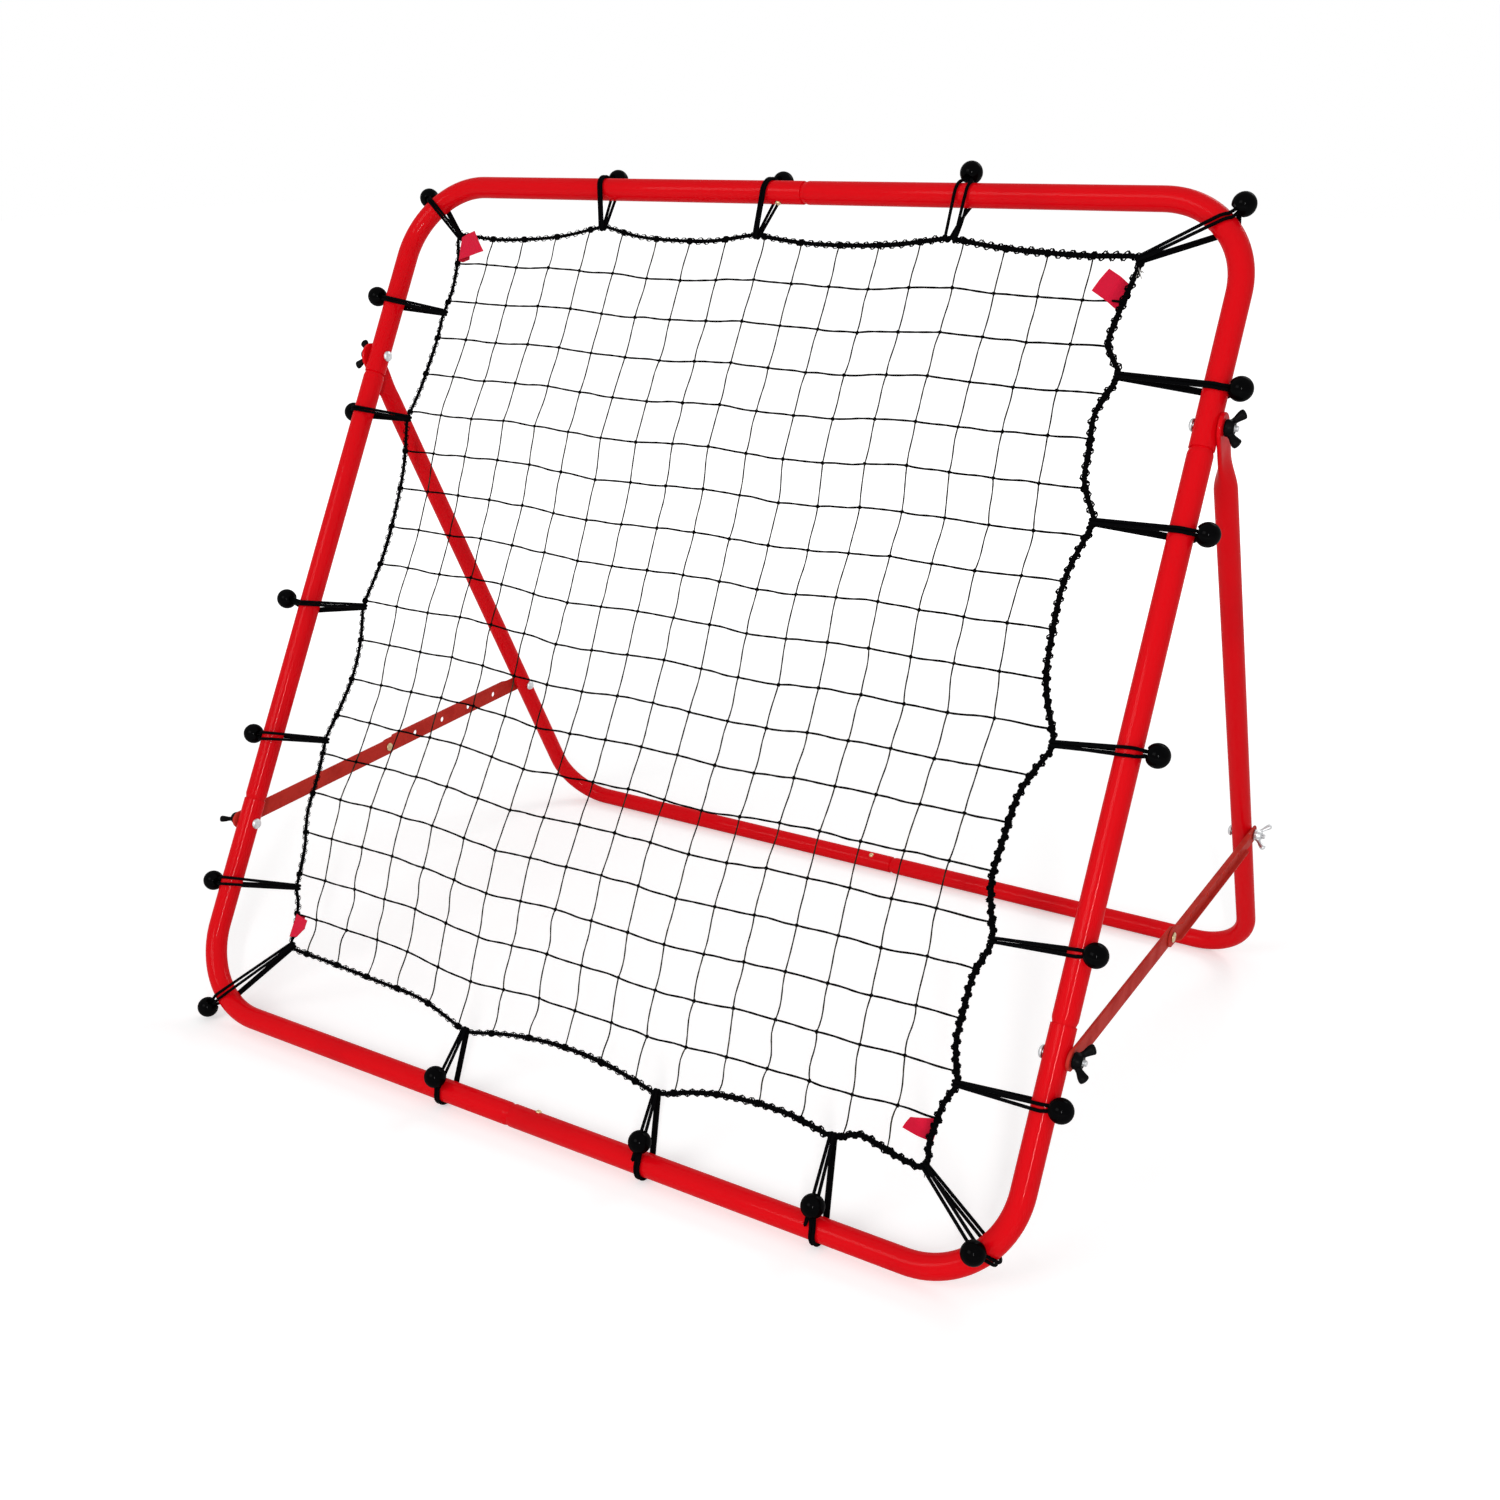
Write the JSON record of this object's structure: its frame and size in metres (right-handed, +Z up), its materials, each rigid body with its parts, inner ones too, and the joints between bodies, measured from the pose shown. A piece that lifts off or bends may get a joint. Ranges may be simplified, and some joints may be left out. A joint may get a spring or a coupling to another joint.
{
  "type": "rebounder net",
  "caption": "Square tubular frame holding a knotted net on ball bungees, leaning back on a folding rear frame with perforated side struts.",
  "frame": {"origin": "on the ground, under the middle of the whole object's box", "axes": "+X to the right seen from the front, +Y from the net's front to the rear bar, +Z up"},
  "size_m": [1.087, 0.7664, 0.9228],
  "materials": {
    "tubes": "glossy red powder coat",
    "struts": "red coat, duller than the tubes",
    "bolts": "bright zinc",
    "pins_and_buttons": "yellow zinc",
    "black_wing_nuts": "black moulded plastic",
    "ball_bungees": "black elastic cord with a black plastic ball",
    "net_twine": "black knotted twine",
    "border_rope": "black twisted rope",
    "tags": "red cloth"
  },
  "bodies": {
    "front_frame": {"corner_tube_top_left": "tubes", "corner_tube_bottom_left": "tubes", "side_tube_left": "tubes", "pivot_bolt_left": "bolts", "strut_front_bolt_left": "bolts", "corner_tube_top_right": "tubes", "corner_tube_bottom_right": "tubes", "side_tube_right": "tubes", "pivot_bolt_right": "bolts", "strut_front_bolt_right": "bolts", "net": "net_twine", "border_rope": "border_rope", "bungee_left_1": "ball_bungees", "bungee_left_2": "ball_bungees", "bungee_left_3": "ball_bungees", "bungee_left_4": "ball_bungees", "bungee_left_5": "ball_bungees", "bungee_corner_bottom_left": "ball_bungees", "bungee_bottom_1": "ball_bungees", "bungee_bottom_2": "ball_bungees", "bungee_bottom_3": "ball_bungees", "bungee_corner_bottom_right": "ball_bungees", "bungee_right_5": "ball_bungees", "bungee_right_4": "ball_bungees", "bungee_right_3": "ball_bungees", "bungee_right_2": "ball_bungees", "bungee_right_1": "ball_bungees", "bungee_corner_top_right": "ball_bungees", "bungee_top_3": "ball_bungees", "bungee_top_2": "ball_bungees", "bungee_top_1": "ball_bungees", "bungee_corner_top_left": "ball_bungees", "tag_top_left": "tags", "tag_top_right": "tags", "tag_bottom_left": "tags", "tag_bottom_right": "tags"},
    "rear_frame": {"rear_leg_left": "tubes", "rear_leg_right": "tubes", "strut_rear_bolt_left": "bolts", "strut_rear_bolt_right": "bolts"},
    "strut_front_half_left": {"strut_front_half_left": "struts", "centre_pin_head_left": "pins_and_buttons"},
    "strut_rear_half_left": {"strut_rear_half_left": "struts", "centre_pin_cap_left": "pins_and_buttons"},
    "strut_front_half_right": {"strut_front_half_right": "struts", "centre_pin_head_right": "pins_and_buttons"},
    "strut_rear_half_right": {"strut_rear_half_right": "struts", "centre_pin_cap_right": "pins_and_buttons"},
    "pivot_wing_nut_left": {"pivot_wing_nut_left": "black_wing_nuts"},
    "strut_front_wing_nut_left": {"strut_front_wing_nut_left": "black_wing_nuts"},
    "strut_rear_wing_nut_left": {"strut_rear_wing_nut_left": "bolts"},
    "pivot_wing_nut_right": {"pivot_wing_nut_right": "black_wing_nuts"},
    "strut_front_wing_nut_right": {"strut_front_wing_nut_right": "black_wing_nuts"},
    "strut_rear_wing_nut_right": {"strut_rear_wing_nut_right": "bolts"},
    "snap_button_top": {"snap_button_top": "pins_and_buttons"},
    "snap_button_bottom": {"snap_button_bottom": "pins_and_buttons"},
    "snap_button_rear": {"snap_button_rear": "pins_and_buttons"}
  },
  "joints": [
    {"name": "rear_frame_fold", "type": "hinge", "parent": "front_frame", "child": "rear_frame", "pos_m": [0, 0.03131, 0.70134], "axis": [1, 0, 0], "range_deg": [-24, 0]},
    {"name": "strut_front_swing_left", "type": "hinge", "parent": "front_frame", "child": "strut_front_half_left", "pos_m": [-0.51545, -0.25544, 0.20064], "axis": [1, 0, 0], "range_deg": [-9.9, 0]},
    {"name": "strut_rear_swing_left", "type": "hinge", "parent": "rear_frame", "child": "strut_rear_half_left", "pos_m": [-0.52545, 0.27493, 0.20824], "axis": [1, 0, 0], "range_deg": [0, 14.4]},
    {"name": "strut_front_swing_right", "type": "hinge", "parent": "front_frame", "child": "strut_front_half_right", "pos_m": [0.51545, -0.25544, 0.20064], "axis": [1, 0, 0], "range_deg": [-9.9, 0]},
    {"name": "strut_rear_swing_right", "type": "hinge", "parent": "rear_frame", "child": "strut_rear_half_right", "pos_m": [0.52545, 0.27493, 0.20824], "axis": [1, 0, 0], "range_deg": [0, 14.4]},
    {"name": "pivot_wing_nut_left_turn", "type": "hinge", "parent": "front_frame", "child": "pivot_wing_nut_left", "pos_m": [-0.5166, 0.03131, 0.70134], "axis": [1, 0, 0], "continuous": true},
    {"name": "strut_front_wing_nut_left_turn", "type": "hinge", "parent": "front_frame", "child": "strut_front_wing_nut_left", "pos_m": [-0.5159, -0.25544, 0.20064], "axis": [1, 0, 0], "continuous": true},
    {"name": "strut_rear_wing_nut_left_turn", "type": "hinge", "parent": "rear_frame", "child": "strut_rear_wing_nut_left", "pos_m": [-0.5282, 0.27493, 0.20824], "axis": [1, 0, 0], "continuous": true},
    {"name": "pivot_wing_nut_right_turn", "type": "hinge", "parent": "front_frame", "child": "pivot_wing_nut_right", "pos_m": [0.5166, 0.03131, 0.70134], "axis": [1, 0, 0], "continuous": true},
    {"name": "strut_front_wing_nut_right_turn", "type": "hinge", "parent": "front_frame", "child": "strut_front_wing_nut_right", "pos_m": [0.5159, -0.25544, 0.20064], "axis": [1, 0, 0], "continuous": true},
    {"name": "strut_rear_wing_nut_right_turn", "type": "hinge", "parent": "rear_frame", "child": "strut_rear_wing_nut_right", "pos_m": [0.5282, 0.27493, 0.20824], "axis": [1, 0, 0], "continuous": true},
    {"name": "snap_button_top_press", "type": "slide", "parent": "front_frame", "child": "snap_button_top", "axis": [0, 0.497, 0.8678], "range_m": [0, 0.0022], "stiffness_N_per_m": 600, "springref_m": -0.001},
    {"name": "snap_button_bottom_press", "type": "slide", "parent": "front_frame", "child": "snap_button_bottom", "axis": [0, -0.497, -0.8678], "range_m": [0, 0.0022], "stiffness_N_per_m": 600, "springref_m": -0.001},
    {"name": "snap_button_rear_press", "type": "slide", "parent": "rear_frame", "child": "snap_button_rear", "axis": [0, 0.4429, -0.8965], "range_m": [0, 0.0022], "stiffness_N_per_m": 600, "springref_m": -0.001}
  ],
  "couplings": [
    {"joint": "strut_front_swing_left", "follows": "rear_frame_fold", "ratio": 0.407},
    {"joint": "strut_rear_swing_left", "follows": "rear_frame_fold", "ratio": -0.593},
    {"joint": "strut_front_swing_right", "follows": "rear_frame_fold", "ratio": 0.407},
    {"joint": "strut_rear_swing_right", "follows": "rear_frame_fold", "ratio": -0.593}
  ]
}
